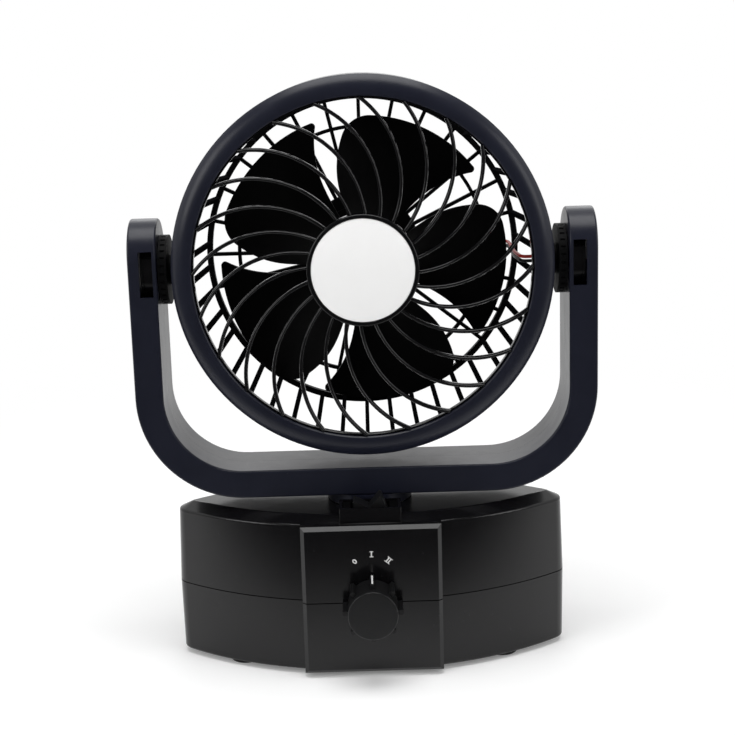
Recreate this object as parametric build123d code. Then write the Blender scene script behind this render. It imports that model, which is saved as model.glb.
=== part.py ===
from build123d import *
import math
import os

os.makedirs("parts", exist_ok=True)

# Portable camping fan: a tilting guarded head in a U-shaped yoke on a battery base.
# Millimetres. +Z is up, the front of the fan faces -Y, and the origin lies on the floor
# under the swivel axis. Head and yoke are drawn about the tilt axis, then lifted into place.

# ---- Overall ----
running_gap = 0.06        # radial gap of every turning fit
seat_gap = 0.1            # gap between fixed pieces that seat on each other
free_gap = 0.35           # gap between faces that move past each other
pivot_side_gap = 0.55     # each flange to the inner face of its arm
head_sweep_gap = 2.05     # rear guard to the cross bar as the head tilts
collar_gap = 0.3          # swivel collar to the slip ring
blade_clearance = 11.0    # blade tips to the inner edge of the front ring

# ---- Front ring, grille and hub cap ----
ring_radius = 100.0
ring_width = 11.0
ring_face_ahead = 25.0    # front of the ring, ahead of the tilt axis
ring_bevel = 4.5          # how far the outer edge falls back from the face
ring_thickness = 4.0
skirt_depth = 37.0
skirt_wall = 2.5
grille_rim_thickness = 1.7
grille_lip_width = 1.0    # inner lip showing inside the ring
grille_lip_height = 1.9
spoke_count = 24
spoke_width = 2.0
spoke_depth = 3.6
spoke_sweep = 33.5        # degrees that a spoke turns on its way out
spoke_mid_share = 0.48    # share of that turn made by the middle radius
hub_rim_radius = 29.3
hub_rim_wall = 2.2
hub_height = 5.4
cap_recess = 1.7
cap_edge = 1.0
cap_crown = 1.9
guard_screw_count = 4
guard_screw_radius = 1.1
guard_screw_bite = 1.8

# ---- Rear guard ----
guard_depth = 81.0        # ring face to the rear rings
guard_rim_width = 6.4
guard_rim_depth = 4.6
guard_taper = 4.1         # how much smaller the rear ring is than the rim's inside
rear_ring_width = 3.2
rear_ring_depth = 3.8
middle_ring_radius = 70.0
middle_ring_width = 2.0
side_rib_count = 42
side_rib_width = 2.2
side_rib_depth = 2.6
rib_joint_gap = 0.02      # hairline where a side rib meets the rim and the rear ring
radial_rib_count = 28
radial_rib_width = 2.0
radial_rib_depth = 2.6
hub_plate_radius = 33.0
hub_plate_thickness = 3.5
cover_radius = 32.0
cover_crown = 10.6
cover_wall = 3.0
cover_edge = 1.6
cover_slot_count = 10

# ---- Motor and impeller ----
motor_radius = 14.0
motor_wall = 1.0
motor_length = 26.0
motor_cap_thickness = 3.0
motor_shaft_radius = 1.59
rotor_radius = 10.5
rotor_length = 13.0
mount_wall = 2.6
mount_front_wall = 2.5
mount_flange_radius = 26.0
mount_flange_thickness = 1.8
mount_screw_count = 3
mount_screw_circle = 21.5
motor_boss_radius = 4.5
impeller_hub_radius = 25.0
impeller_hub_wall = 2.0
impeller_hub_front = 8.0  # hub nose ahead of the tilt axis
impeller_hub_length = 32.0
impeller_boss_radius = 5.0
blade_count = 5
blade_thickness = 2.2
blade_half_span = 30.3    # degrees each side of the blade's root line
blade_tip_lead = 40.6     # degrees from the root line to the pointed tip corner
blade_tip_trail = 17.2    # degrees from the root line to the rounded tip corner
blade_root_line = 75.8    # degrees of the first blade's root line
blade_mid_y = 12.5
blade_rise = 13.6         # axial rise of the blade over its half span
blade_camber = 2.4
blade_corner = 15.0

# ---- Tilt pivots ----
boss_radius = 8.0
boss_length = 2.7
flange_radius = 18.5
flange_thickness = 4.5
flange_notch_count = 28
flange_notch_radius = 0.7
pin_radius = 5.0
spigot_radius = 5.9
lead_bore = 2.8
pivot_nut_radius = 8.2
pivot_nut_thickness = 3.5
drum_radius = 17.4
drum_width = 6.3

# ---- Yoke ----
arm_thickness = 15.0
yoke_half_depth = 20.4
arm_round_rise = 7.0      # centre of the arm's round top above the tilt axis
yoke_corner = 56.0
yoke_wall = 2.0
yoke_edge = 1.2
parting_gap = 0.1
window_height = 24.0
window_width = 7.1
yoke_screw_radius = 1.3
yoke_boss_radius = 2.8
yoke_head_radius = 2.5
yoke_head_height = 1.6
arm_screw_drops = [34.0, 72.0]
bar_screw_reaches = [38.0, 76.0]

# ---- Swivel ----
collar_radius = 23.0
collar_height = 5.6
post_radius = 15.0
post_bore = 6.0
post_neck_radius = 11.5
post_plate_x = 15.0
post_plate_y = 12.0
post_plate_thickness = 8.6
post_plate_seat = 3.1
bearing_wall = 3.5
bearing_length = 20.5
slip_ring_inner = 17.0
slip_ring_outer = 22.5
slip_ring_thickness = 1.5
retainer_radius = 19.0
retainer_thickness = 2.5
retainer_screw_circle = 10.6
retainer_screw_count = 3

# ---- Base ----
base_top = 86.9
base_seam = 42.0
base_bottom = 2.5
base_half_width = 106.3   # at the seam
base_half_depth = 45.6    # at the seam
base_end_radius = 10.5
upper_draft = 1.8         # degrees, narrowing upwards
lower_draft = 0.7         # degrees, narrowing downwards
base_wall = 2.4
crown_width = 8.0         # low bevel from the rim up to the flat top
crown_height = 3.9
rim_edge = 1.5
crease_edge = 3.0
floor_edge = 1.5
seam_gap = 0.5
tongue_height = 2.6
tongue_wall = 1.0
panel_half_width = 37.0
panel_front = 47.5
panel_top = 83.7
panel_edge = 2.0
panel_inner_half_width = 30.0
pod_half_width = 16.4
pod_front = 42.0
pod_back = 24.4
pod_top = 91.9
pod_wall = 1.7
pod_edge = 0.8
foot_radius = 8.5
foot_x = 70.5
foot_y = 15.8
foot_inset = 1.2
base_post_radius = 4.0
base_screw_radius = 1.5
base_screw_head = 3.0
base_screw_head_height = 2.2
base_screw_length = 20.0
base_post_places = [(90.0, 0.0), (-90.0, 0.0), (20.0, 33.0), (-20.0, 33.0), (20.0, -33.0), (-20.0, -33.0)]

# ---- Batteries ----
cell_radius = 16.4
cell_length = 60.0
cell_nub_radius = 4.6
cell_nub_height = 1.4
cell_x = 44.0
cell_y = 17.2
tube_clearance = 0.6
tube_wall = 1.4
door_thickness = 2.2
door_gap = 0.4
door_ledge = 1.6
contact_thickness = 0.4
spring_wire = 0.45
spring_radius = 5.0
spring_length = 4.2
spring_turns = 3.0

# ---- Controls and inlet ----
knob_radius = 13.0
knob_face = 68.0          # knob face ahead of the swivel axis
knob_back_gap = 0.8
knob_lug_count = 8
knob_lug_reach = 2.8
knob_lug_width = 2.4
knob_lug_setback = 5.0
knob_edge = 0.7
knob_wall = 2.0
knob_recess = 4.0
knob_bore_depth = 6.0     # solid nose in front of the shaft bore
pointer_width = 0.9
pointer_height = 0.5
switch_shaft_radius = 3.0
switch_bushing_radius = 4.5
switch_half_size = 9.5
switch_depth = 14.0
rocker_pivot_y = -33.2
rocker_half_length = 9.4
rocker_shoulder_reach = 7.5
rocker_half_width = 5.6
rocker_shoulder = 8.0
rocker_valley = 2.0
rocker_skirt = 3.2
rocker_tilt = 12.0
rocker_pin_radius = 1.2
rocker_pin_length = 1.1
rocker_body_depth = 16.0
rocker_pivot_drop = 2.8   # rocker axis below the pod's rim
jack_radius = 5.6
jack_nut_radius = 7.5
jack_nut_thickness = 1.6
jack_socket_radius = 2.8
jack_pin_radius = 1.0
jack_length = 12.0
jack_height = 22.0
lead_radius = 0.9
lead_spacing = 1.3

# ---- Places worked out from the sizes above ----
ring_face = -ring_face_ahead
ring_inner = ring_radius - ring_width
ring_back = ring_face + ring_thickness
skirt_inner = ring_radius - skirt_wall
skirt_back = ring_face + skirt_depth
guard_rim_outer = skirt_inner - 0.2
guard_rim_inner = guard_rim_outer - guard_rim_width
guard_screw_circle = (guard_rim_inner + guard_rim_outer) / 2
rear_ring_radius = guard_rim_inner - guard_taper
rear_ring_outer = rear_ring_radius + rear_ring_width / 2
rear_ring_inner = rear_ring_radius - rear_ring_width / 2
impeller_radius = ring_inner - blade_clearance
grille_front = ring_back + seat_gap
grille_back = grille_front + grille_rim_thickness
guard_front = grille_back + seat_gap
guard_rim_back = guard_front + guard_rim_depth
rear_plane = ring_face + guard_depth
rear_ring_front = rear_plane - rear_ring_depth / 2
rib_back = rear_plane + radial_rib_depth / 2
hub_plate_front = rib_back - hub_plate_thickness
mount_back = hub_plate_front - seat_gap
motor_back = mount_back - seat_gap
motor_front = motor_back - motor_length
mount_front = motor_front - mount_front_wall - seat_gap
spoke_back = ring_back - 0.5
spoke_front = spoke_back - spoke_depth
hub_front = ring_face - 2.2
hub_seat = hub_front + cap_recess
flange_inner = ring_radius + boss_length
flange_outer = flange_inner + flange_thickness
arm_inner = flange_outer + pivot_side_gap
yoke_half_width = arm_inner + arm_thickness
head_sweep = math.hypot(rear_ring_outer, rib_back)
bar_top = -head_sweep - head_sweep_gap
bar_drop = arm_thickness - bar_top
pivot_height = base_top + collar_gap + collar_height + seat_gap + bar_drop
drum_inner = arm_inner + yoke_wall + free_gap
drum_outer = drum_inner + drum_width
pin_end = drum_outer + 1.1
collar_top = -bar_drop - seat_gap
collar_bottom = base_top + collar_gap - pivot_height
bearing_bottom = base_top - bearing_length - pivot_height
post_end = bearing_bottom - free_gap
cavity_floor = base_bottom + base_wall
tube_inner = cell_radius + tube_clearance
tube_outer = tube_inner + tube_wall
door_top = base_bottom + door_thickness
spring_foot = door_top + contact_thickness
cell_bottom = spring_foot + spring_length + free_gap
cell_top = cell_bottom + cell_length
contact_height = cell_top + cell_nub_height + seat_gap
bulkhead = contact_height + contact_thickness + seat_gap
rocker_pivot_z = pod_top - rocker_pivot_drop
lead_wall_x = yoke_half_width - 9.6
lead_bar_z = -bar_drop + 9.3


# ---- Drawing helpers ----
def disc_x(radius, x0, x1, y=0.0, z=0.0):
    return Pos((x0 + x1) / 2, y, z) * Rot(0, 90, 0) * Cylinder(radius, abs(x1 - x0))


def disc_y(radius, y0, y1, x=0.0, z=0.0):
    return Pos(x, (y0 + y1) / 2, z) * Rot(90, 0, 0) * Cylinder(radius, abs(y1 - y0))


def disc_z(radius, z0, z1, x=0.0, y=0.0):
    return Pos(x, y, (z0 + z1) / 2) * Cylinder(radius, abs(z1 - z0))


def tube_y(outer, inner, y0, y1):
    return disc_y(outer, y0, y1) - disc_y(inner, y0 - 1, y1 + 1)


def block(x0, x1, y0, y1, z0, z1):
    centre = Pos((x0 + x1) / 2, (y0 + y1) / 2, (z0 + z1) / 2)
    return centre * Box(abs(x1 - x0), abs(y1 - y0), abs(z1 - z0))


def spun(shape, degrees):
    """Turn a piece about Y, counter-clockwise as seen from the front."""
    return Rot(0, -degrees, 0) * shape


def ring_of(shape, count, start=0.0):
    return [spun(shape, start + 360.0 * k / count) for k in range(count)]


def plate(sketch, y_back, thickness):
    """Extrude an X-Z outline forward from y_back."""
    return Pos(0, y_back, 0) * extrude(Plane.XZ * sketch, amount=thickness)


def polar(radius, degrees):
    angle = math.radians(degrees)
    return (radius * math.cos(angle), radius * math.sin(angle))


def crown(radius, height, y_edge, outward):
    """Arc from an edge at y_edge to the axis, rising by height in the outward direction."""
    sphere = (radius ** 2 + height ** 2) / (2 * height)
    half = radius / 2
    sag = sphere - math.sqrt(sphere ** 2 - half ** 2)
    top = y_edge + outward * height
    return ThreePointArc((radius, y_edge), (half, top - outward * sag), (0, top))


def mirrored(shape):
    return mirror(shape, about=Plane.YZ)


def lifted(shape):
    return Pos(0, 0, pivot_height) * shape


def joined(first, others):
    for other in others:
        first = first + other
    return first


def save(name, shape):
    export_step(shape, "parts/" + name + ".step")


# ---- Head ----
def guard_screw_places():
    start = 180.0 / guard_screw_count
    return [start + 360.0 * k / guard_screw_count for k in range(guard_screw_count)]


def guard_screw_holes(radius, y0, y1):
    return [spun(disc_y(radius, y0, y1, x=guard_screw_circle), a) for a in guard_screw_places()]


def front_ring():
    crown_point = (ring_inner + ring_width * 0.6, ring_face + ring_bevel * 0.22)
    outline = [
        Line((ring_inner, ring_back), (ring_inner, ring_face + 0.6)),
        Line((ring_inner, ring_face + 0.6), (ring_inner + 0.6, ring_face)),
        ThreePointArc((ring_inner + 0.6, ring_face), crown_point, (ring_radius, ring_face + ring_bevel)),
        Line((ring_radius, ring_face + ring_bevel), (ring_radius, skirt_back)),
        Line((ring_radius, skirt_back), (skirt_inner, skirt_back)),
        Line((skirt_inner, skirt_back), (skirt_inner, ring_back)),
        Line((skirt_inner, ring_back), (ring_inner, ring_back)),
    ]
    ring = revolve(make_face(outline), Axis.Y)
    ring -= guard_screw_holes(guard_screw_radius, ring_back - guard_screw_bite, ring_back + 1)
    ring -= disc_x(spigot_radius + seat_gap, -ring_radius - 1, ring_radius + 1)
    return ring


def spoke():
    inner = polar(hub_rim_radius - hub_rim_wall / 2, 0.0)
    middle = polar((hub_rim_radius + ring_inner) / 2, spoke_sweep * spoke_mid_share * 0.86)
    outer = polar(ring_inner - grille_lip_width / 2, spoke_sweep)
    return plate(trace(ThreePointArc(inner, middle, outer), line_width=spoke_width), spoke_back, spoke_depth)


def front_grille():
    lip_inner = ring_inner - grille_lip_width
    rim = tube_y(skirt_inner - 0.6, lip_inner, grille_front, grille_back)
    lip = tube_y(ring_inner - seat_gap, lip_inner, grille_front - grille_lip_height, grille_back)
    hub = disc_y(hub_rim_radius, hub_front, spoke_back)
    hub -= disc_y(hub_rim_radius - hub_rim_wall, hub_seat + 2.0, spoke_back + 1)
    hub -= disc_y(hub_rim_radius - hub_rim_wall, hub_front - 1, hub_seat)
    grille = joined(rim, [lip, hub])
    grille = grille + ring_of(spoke(), spoke_count, 11.25)
    grille -= guard_screw_holes(guard_screw_radius + 0.2, grille_front - 1, grille_back + 1)
    return grille


def hub_cap():
    radius = hub_rim_radius - hub_rim_wall - seat_gap
    seat = hub_seat - seat_gap
    edge = seat - cap_recess - cap_edge * 0.2
    front = edge - cap_crown
    outline = [
        Line((0, seat), (radius, seat)),
        Line((radius, seat), (radius, edge)),
        crown(radius, cap_crown, edge, -1),
        Line((0, front), (0, seat)),
    ]
    return revolve(make_face(outline), Axis.Y)


def guard_rim():
    rim = tube_y(guard_rim_outer, guard_rim_inner, guard_front, guard_rim_back)
    return rim - guard_screw_holes(guard_screw_radius + 0.2, guard_front - 1, guard_rim_back + 1)


def guard_side_ribs():
    """Straight ribs that lean in from the rim to the rear ring."""
    front = guard_rim_back + rib_joint_gap
    back = rear_ring_front - rib_joint_gap
    front_inner = guard_rim_inner + 0.3
    back_inner = rear_ring_inner + 0.2
    outline = Polyline(
        (front_inner, front),
        (front_inner + side_rib_depth, front),
        (back_inner + side_rib_depth, back),
        (back_inner, back),
        close=True,
    )
    rib = extrude(make_face(outline), amount=side_rib_width / 2, both=True)
    return ring_of(rib, side_rib_count, 180.0 / side_rib_count)


def rear_grille():
    rear_ring = tube_y(rear_ring_outer, rear_ring_inner, rear_ring_front, rear_ring_front + rear_ring_depth)
    middle_outer = middle_ring_radius + middle_ring_width / 2
    middle_inner = middle_ring_radius - middle_ring_width / 2
    middle_ring = tube_y(middle_outer, middle_inner, rib_back - radial_rib_depth, rib_back - 0.2)
    radial_rib = block(
        hub_plate_radius - 2,
        rear_ring_radius,
        rib_back - radial_rib_depth,
        rib_back,
        -radial_rib_width / 2,
        radial_rib_width / 2,
    )
    hub_plate = disc_y(hub_plate_radius, hub_plate_front, rib_back)
    hub_plate -= disc_y(motor_radius - 1, hub_plate_front - 1, rib_back + 1)
    grille = joined(rear_ring, [middle_ring, hub_plate])
    grille = grille + ring_of(radial_rib, radial_rib_count)
    return grille - mount_screw_holes(guard_screw_radius + 0.2, hub_plate_front - 1, rib_back + 1)


def guard_screws():
    shank_front = ring_back - guard_screw_bite + 0.2
    screw = disc_y(guard_screw_radius - 0.05, shank_front, guard_rim_back + 0.3, x=guard_screw_circle)
    screw = screw + disc_y(2.0, guard_rim_back + seat_gap, guard_rim_back + 1.6, x=guard_screw_circle)
    return [spun(screw, a) for a in guard_screw_places()]


def mount_screw_places():
    return [90.0 + 360.0 * k / mount_screw_count for k in range(mount_screw_count)]


def mount_screw_holes(radius, y0, y1):
    return [spun(disc_y(radius, y0, y1, x=mount_screw_circle), a) for a in mount_screw_places()]


def motor_mount():
    outer = motor_radius + seat_gap + mount_wall
    cup = disc_y(outer, mount_front, mount_back)
    cup = cup + disc_y(mount_flange_radius, mount_back - mount_flange_thickness, mount_back)
    for angle in mount_screw_places():
        stub = disc_y(3.2, mount_back - 6.0, mount_back, x=mount_screw_circle)
        cup = cup + spun(stub, angle)
    cup -= disc_y(motor_radius + seat_gap, motor_front - seat_gap, mount_back + 1)
    cup -= disc_y(motor_boss_radius + 0.3, mount_front - 1, motor_front + 1)
    cup -= mount_screw_holes(guard_screw_radius, mount_back - 5.0, mount_back + 1)
    return cup


def mount_screws():
    shank = disc_y(guard_screw_radius - 0.05, mount_back - 4.6, rib_back + 0.3, x=mount_screw_circle)
    head = disc_y(2.0, rib_back + 0.05, rib_back + 1.5, x=mount_screw_circle)
    return [spun(shank + head, a) for a in mount_screw_places()]


def motor_can():
    cap_front = motor_back - motor_cap_thickness
    can = disc_y(motor_radius, motor_front, cap_front)
    can = can + disc_y(motor_boss_radius, motor_front - 1.6, motor_front + 0.5)
    can -= disc_y(motor_radius - motor_wall, motor_front + motor_wall * 1.5, cap_front + 1)
    can -= disc_y(motor_shaft_radius + running_gap, motor_front - 3, motor_front + 3)
    return can


def motor_end_cap():
    cap_front = motor_back - motor_cap_thickness + 0.02
    cap = disc_y(motor_radius - 0.1, cap_front, motor_back)
    cap = cap + disc_y(3.6, cap_front - 2.0, motor_back)
    for side in (-1, 1):
        cap = cap + block(side * 7.0 - 1.4, side * 7.0 + 1.4, motor_back - 1, motor_back + 3.4, -0.3, 0.3)
    cap -= disc_y(motor_shaft_radius + running_gap, cap_front - 3, motor_back - 0.8)
    return cap


def motor_cover():
    seat = rib_back + seat_gap
    rim_height = 1.0
    outline = [
        Line((0, seat + rim_height), (cover_radius - 1.6, seat + rim_height)),
        Line((cover_radius - 1.6, seat + rim_height), (cover_radius - 1.6, seat)),
        Line((cover_radius - 1.6, seat), (cover_radius, seat)),
        Line((cover_radius, seat), (cover_radius, seat + cover_edge)),
        crown(cover_radius, cover_crown - cover_edge, seat + cover_edge, 1),
        Line((0, seat + cover_crown), (0, seat + rim_height)),
    ]
    cover = revolve(make_face(outline), Axis.Y)
    cavity = disc_y(mount_screw_circle + 3.5, seat - 1, seat + 1.9)
    cavity -= disc_y(mount_screw_circle - 3.5, seat - 2, seat + 3)
    cover -= cavity
    cover -= disc_y(mount_screw_circle - 11.0, seat - 1, seat + cover_crown - cover_wall)
    slot = block(12.0, 17.0, seat - 1, seat + cover_crown + 1, -0.8, 0.8)
    cover -= ring_of(slot, cover_slot_count)
    return cover


def motor_shaft():
    return disc_y(motor_shaft_radius, -impeller_hub_front + 2.6, motor_back - 1.3)


def motor_rotor():
    middle = (motor_front + motor_back) / 2 - 1.0
    rotor = disc_y(rotor_radius, middle - rotor_length / 2, middle + rotor_length / 2)
    for k in range(3):
        slot = block(4.5, rotor_radius + 1, middle - rotor_length, middle + rotor_length, -0.9, 0.9)
        rotor -= spun(slot, 120.0 * k)
    rotor = rotor + disc_y(4.0, middle + rotor_length / 2 - 0.5, middle + rotor_length / 2 + 2.4)
    rotor -= disc_y(motor_shaft_radius, middle - rotor_length, middle + rotor_length)
    return rotor


# ---- Impeller ----
def blade_height(angle):
    turn = angle / blade_half_span
    return blade_mid_y - blade_rise * turn - blade_camber * turn ** 2


def blade_section(angle):
    inner = impeller_hub_radius - 3.0
    outer = impeller_radius + 3.0
    y = blade_height(angle)
    half = blade_thickness / 2
    corners = []
    for radius, height in ((inner, y - half), (outer, y - half), (outer, y + half), (inner, y + half)):
        x, z = polar(radius, angle)
        corners.append((x, height, z))
    return make_face(Polyline(*corners, close=True))


def blade_outline():
    root = impeller_hub_radius - 2.0
    tip = impeller_radius
    lead = Spline(
        polar(root, -blade_half_span),
        polar(root + 15, -blade_half_span),
        polar(root + 28, -blade_half_span - 1.6),
        polar(root + 42, -blade_half_span - 5.4),
        polar(tip, -blade_tip_lead),
    )
    trail = Spline(
        polar(tip, blade_tip_trail),
        polar(root + 42, blade_half_span - 7.0),
        polar(root + 24, blade_half_span - 1.2),
        polar(root + 10, blade_half_span),
        polar(root, blade_half_span),
    )
    middle = polar(tip, (blade_tip_trail - blade_tip_lead) / 2)
    tip_arc = ThreePointArc(polar(tip, -blade_tip_lead), middle, polar(tip, blade_tip_trail))
    root_line = Line(polar(root, blade_half_span), polar(root, -blade_half_span))
    face = make_face([lead, tip_arc, trail, root_line])
    x, y = polar(tip, blade_tip_trail)
    rounded = face.vertices().sort_by_distance((x, y, 0))[0]
    face = fillet(rounded, blade_corner)
    x, y = polar(tip, -blade_tip_lead)
    pointed = face.vertices().sort_by_distance((x, y, 0))[0]
    return fillet(pointed, 2.0)


def blade():
    sheet = loft([blade_section(a) for a in (-46, -32, -16, 0, 16, 34)])
    column = plate(blade_outline(), blade_mid_y + 60, 120)
    return sheet & column


def impeller():
    front = -impeller_hub_front
    back = front + impeller_hub_length
    wall = impeller_hub_wall
    outer = impeller_hub_radius
    boss_back = mount_front - 3.0
    outline = [
        Line((0, front), (outer * 0.7, front)),
        ThreePointArc((outer * 0.7, front), (outer * 0.92, front + 1.9), (outer, front + 7.0)),
        Line((outer, front + 7.0), (outer, back)),
        Line((outer, back), (outer - wall, back)),
        Line((outer - wall, back), (outer - wall, front + 8.0)),
        Line((outer - wall, front + 8.0), (outer * 0.68, front + 2.4)),
        Line((outer * 0.68, front + 2.4), (impeller_boss_radius, front + 2.4)),
        Line((impeller_boss_radius, front + 2.4), (impeller_boss_radius, boss_back)),
        Line((impeller_boss_radius, boss_back), (0, boss_back)),
        Line((0, boss_back), (0, front)),
    ]
    hub = revolve(make_face(outline), Axis.Y)
    wheel = hub + ring_of(blade(), blade_count, blade_root_line)
    wheel -= disc_y(motor_shaft_radius + 0.01, front + 2.5, boss_back + 1)
    return wheel


# ---- Tilt pivots ----
def trunnion():
    """The right-hand pivot, with its lead bore along X."""
    piece = disc_x(boss_radius, ring_radius - 2, flange_inner)
    piece -= disc_y(ring_radius + 0.02, -boss_radius - 2, boss_radius + 2)
    piece = piece + disc_x(spigot_radius, skirt_inner - pivot_nut_thickness - 1.2, flange_inner)
    flange = disc_x(flange_radius, flange_inner, flange_outer)
    for k in range(flange_notch_count):
        y, z = polar(flange_radius, 360.0 * k / flange_notch_count)
        flange -= disc_x(flange_notch_radius, flange_inner + 1.0, flange_outer - 1.0, y=y, z=z)
    piece = piece + flange
    piece = piece + disc_x(pin_radius, flange_inner, pin_end)
    piece -= disc_x(lead_bore, skirt_inner - 10, pin_end + 1)
    return piece


def pivot_nut():
    outer = math.sqrt(skirt_inner ** 2 - pivot_nut_radius ** 2) - seat_gap
    inner = outer - pivot_nut_thickness
    hexagon = extrude(Plane.YZ * RegularPolygon(pivot_nut_radius, 6), amount=pivot_nut_thickness)
    nut = Pos(inner, 0, 0) * hexagon
    return nut - disc_x(spigot_radius + 0.02, inner - 1, outer + 1)


def tilt_drum():
    drum = disc_x(drum_radius, drum_inner, drum_outer)
    middle = (drum_inner + drum_outer) / 2
    groove = disc_x(drum_radius + 1, middle + 1.2, middle + 1.8)
    groove -= disc_x(drum_radius - 0.6, middle, middle + 3)
    return drum - groove - disc_x(pin_radius + 0.02, drum_inner - 1, drum_outer + 1)


# ---- Yoke ----
def yoke_blank(inset):
    """The U of the yoke, shrunk on every outer face by inset."""
    half = yoke_half_width - inset
    low = -bar_drop + inset
    inner_half = arm_inner + inset
    inner_low = bar_top - inset
    top = 60.0
    inner_corner = yoke_corner - arm_thickness + inset
    outer_corner = yoke_corner - inset
    outer_path = FilletPolyline((-half, top), (-half, low), (half, low), (half, top), radius=outer_corner)
    inner_path = FilletPolyline(
        (-inner_half, top + 1),
        (-inner_half, inner_low),
        (inner_half, inner_low),
        (inner_half, top + 1),
        radius=inner_corner,
    )
    outer_face = make_face([outer_path, Line((half, top), (-half, top))])
    inner_face = make_face([inner_path, Line((inner_half, top + 1), (-inner_half, top + 1))])
    u_shape = plate(outer_face - inner_face, yoke_half_depth - inset, 2 * (yoke_half_depth - inset))
    depth = yoke_half_depth - inset
    sides = block(-150, 150, -depth, depth, -bar_drop - 1, arm_round_rise)
    return u_shape & (sides + disc_x(depth, -150, 150, z=arm_round_rise))


def yoke_screw_places():
    places = []
    for side in (-1, 1):
        for drop in arm_screw_drops:
            places.append((side * (yoke_half_width - 5.2), -drop))
        for reach in bar_screw_reaches:
            places.append((side * reach, -bar_drop + 5.0))
    return places


def post_pocket():
    plate_low = -bar_drop + post_plate_seat
    pocket = block(
        -post_plate_x - 0.15,
        post_plate_x + 0.15,
        -post_plate_y - 0.15,
        post_plate_y + 0.15,
        plate_low - 0.1,
        plate_low + post_plate_thickness + 0.15,
    )
    pocket = pocket + disc_z(post_neck_radius + 0.15, -bar_drop - 1, plate_low + 1)
    return pocket + disc_x(3.6, -24, 24, z=lead_bar_z)


def yoke_body():
    outside = yoke_blank(0.0)
    rims = outside.edges().filter_by(Plane.XZ)
    rims = [e for e in rims if abs(abs(e.center().Y) - yoke_half_depth) < 0.01]
    outside = fillet(rims, yoke_edge)
    cavity = yoke_blank(yoke_wall)
    cavity -= block(-22, 22, -yoke_half_depth, yoke_half_depth, -bar_drop, bar_top)
    for x, z in yoke_screw_places():
        cavity -= disc_y(yoke_boss_radius, -yoke_half_depth, yoke_half_depth, x=x, z=z)
    body = outside - cavity
    body -= post_pocket()
    for side in (-1, 1):
        body -= disc_x(pin_radius + running_gap, side * (arm_inner - 1), side * (arm_inner + yoke_wall + 0.5))
        body -= block(
            side * (arm_inner + yoke_wall),
            side * (arm_inner + yoke_wall + window_width),
            -yoke_half_depth - 1,
            yoke_half_depth + 1,
            -window_height / 2,
            window_height / 2,
        )
    return body


def yoke_shells():
    body = yoke_body()
    far = yoke_half_depth + 5
    front = body & block(-150, 150, -far, -parting_gap / 2, -bar_drop - 5, 60)
    rear = body & block(-150, 150, parting_gap / 2, far, -bar_drop - 5, 60)
    for x, z in yoke_screw_places():
        front -= disc_y(yoke_screw_radius, -10.0, 1, x=x, z=z)
        rear -= disc_y(yoke_screw_radius + 0.2, -1, far, x=x, z=z)
        rear -= disc_y(yoke_head_radius + 0.2, yoke_half_depth - yoke_head_height - 0.4, far, x=x, z=z)
    return front, rear


def yoke_screws():
    screws = []
    for x, z in yoke_screw_places():
        seat = yoke_half_depth - yoke_head_height - 0.3
        screw = disc_y(yoke_screw_radius - 0.05, -9.0, seat + 0.5, x=x, z=z)
        screw = screw + disc_y(yoke_head_radius, seat, seat + yoke_head_height, x=x, z=z)
        screw -= block(x - 1.4, x + 1.4, seat + 0.7, seat + 3, z - 0.3, z + 0.3)
        screw -= block(x - 0.3, x + 0.3, seat + 0.7, seat + 3, z - 1.4, z + 1.4)
        screws.append(screw)
    return screws


def swivel_post():
    plate_low = -bar_drop + post_plate_seat
    post = block(
        -post_plate_x,
        post_plate_x,
        -post_plate_y,
        post_plate_y,
        plate_low,
        plate_low + post_plate_thickness,
    )
    post = post + disc_z(post_neck_radius, collar_top - 1, plate_low + 1)
    post = post + disc_z(collar_radius, collar_bottom, collar_top)
    post = post + disc_z(post_radius, post_end, collar_bottom + 1)
    post -= disc_z(post_bore, post_end - 1, plate_low + post_plate_thickness + 1)
    post -= disc_x(3.6, 0, post_plate_x + 1, z=lead_bar_z)
    for x, y in retainer_screw_points():
        post -= disc_z(guard_screw_radius, post_end - 1, post_end + 9, x=x, y=y)
    return post


def retainer_screw_points():
    step = 360.0 / retainer_screw_count
    return [polar(retainer_screw_circle, 90 + step * k) for k in range(retainer_screw_count)]


def swivel_retainer():
    top = post_end - 0.02
    ring = disc_z(retainer_radius, top - retainer_thickness, top)
    ring -= disc_z(post_bore + 1, top - retainer_thickness - 1, top + 1)
    for x, y in retainer_screw_points():
        ring -= disc_z(guard_screw_radius + 0.2, top - retainer_thickness - 1, top + 1, x=x, y=y)
    return ring


def retainer_screws():
    low = post_end - retainer_thickness - seat_gap
    screws = []
    for x, y in retainer_screw_points():
        shank = disc_z(guard_screw_radius - 0.05, low - 0.5, post_end + 7, x=x, y=y)
        screws.append(shank + disc_z(2.1, low - 1.6, low, x=x, y=y))
    return screws


# ---- Base ----
def base_plan(half_width, half_depth, end_radius):
    """Lens-shaped plan: a long arc front and back, joined by a tight arc at each end."""
    reach = half_width - end_radius
    drop = half_depth - end_radius
    offset = (reach ** 2 - drop ** 2) / (2 * drop)
    long_radius = offset + half_depth
    share = long_radius / (long_radius - end_radius)
    touch_x = reach * share
    touch_y = offset * share - offset
    front = ThreePointArc((-touch_x, -touch_y), (0, -half_depth), (touch_x, -touch_y))
    right = ThreePointArc((touch_x, -touch_y), (half_width, 0), (touch_x, touch_y))
    back = ThreePointArc((touch_x, touch_y), (0, half_depth), (-touch_x, touch_y))
    left = ThreePointArc((-touch_x, touch_y), (-half_width, 0), (-touch_x, -touch_y))
    return make_face([front, right, back, left])


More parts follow.
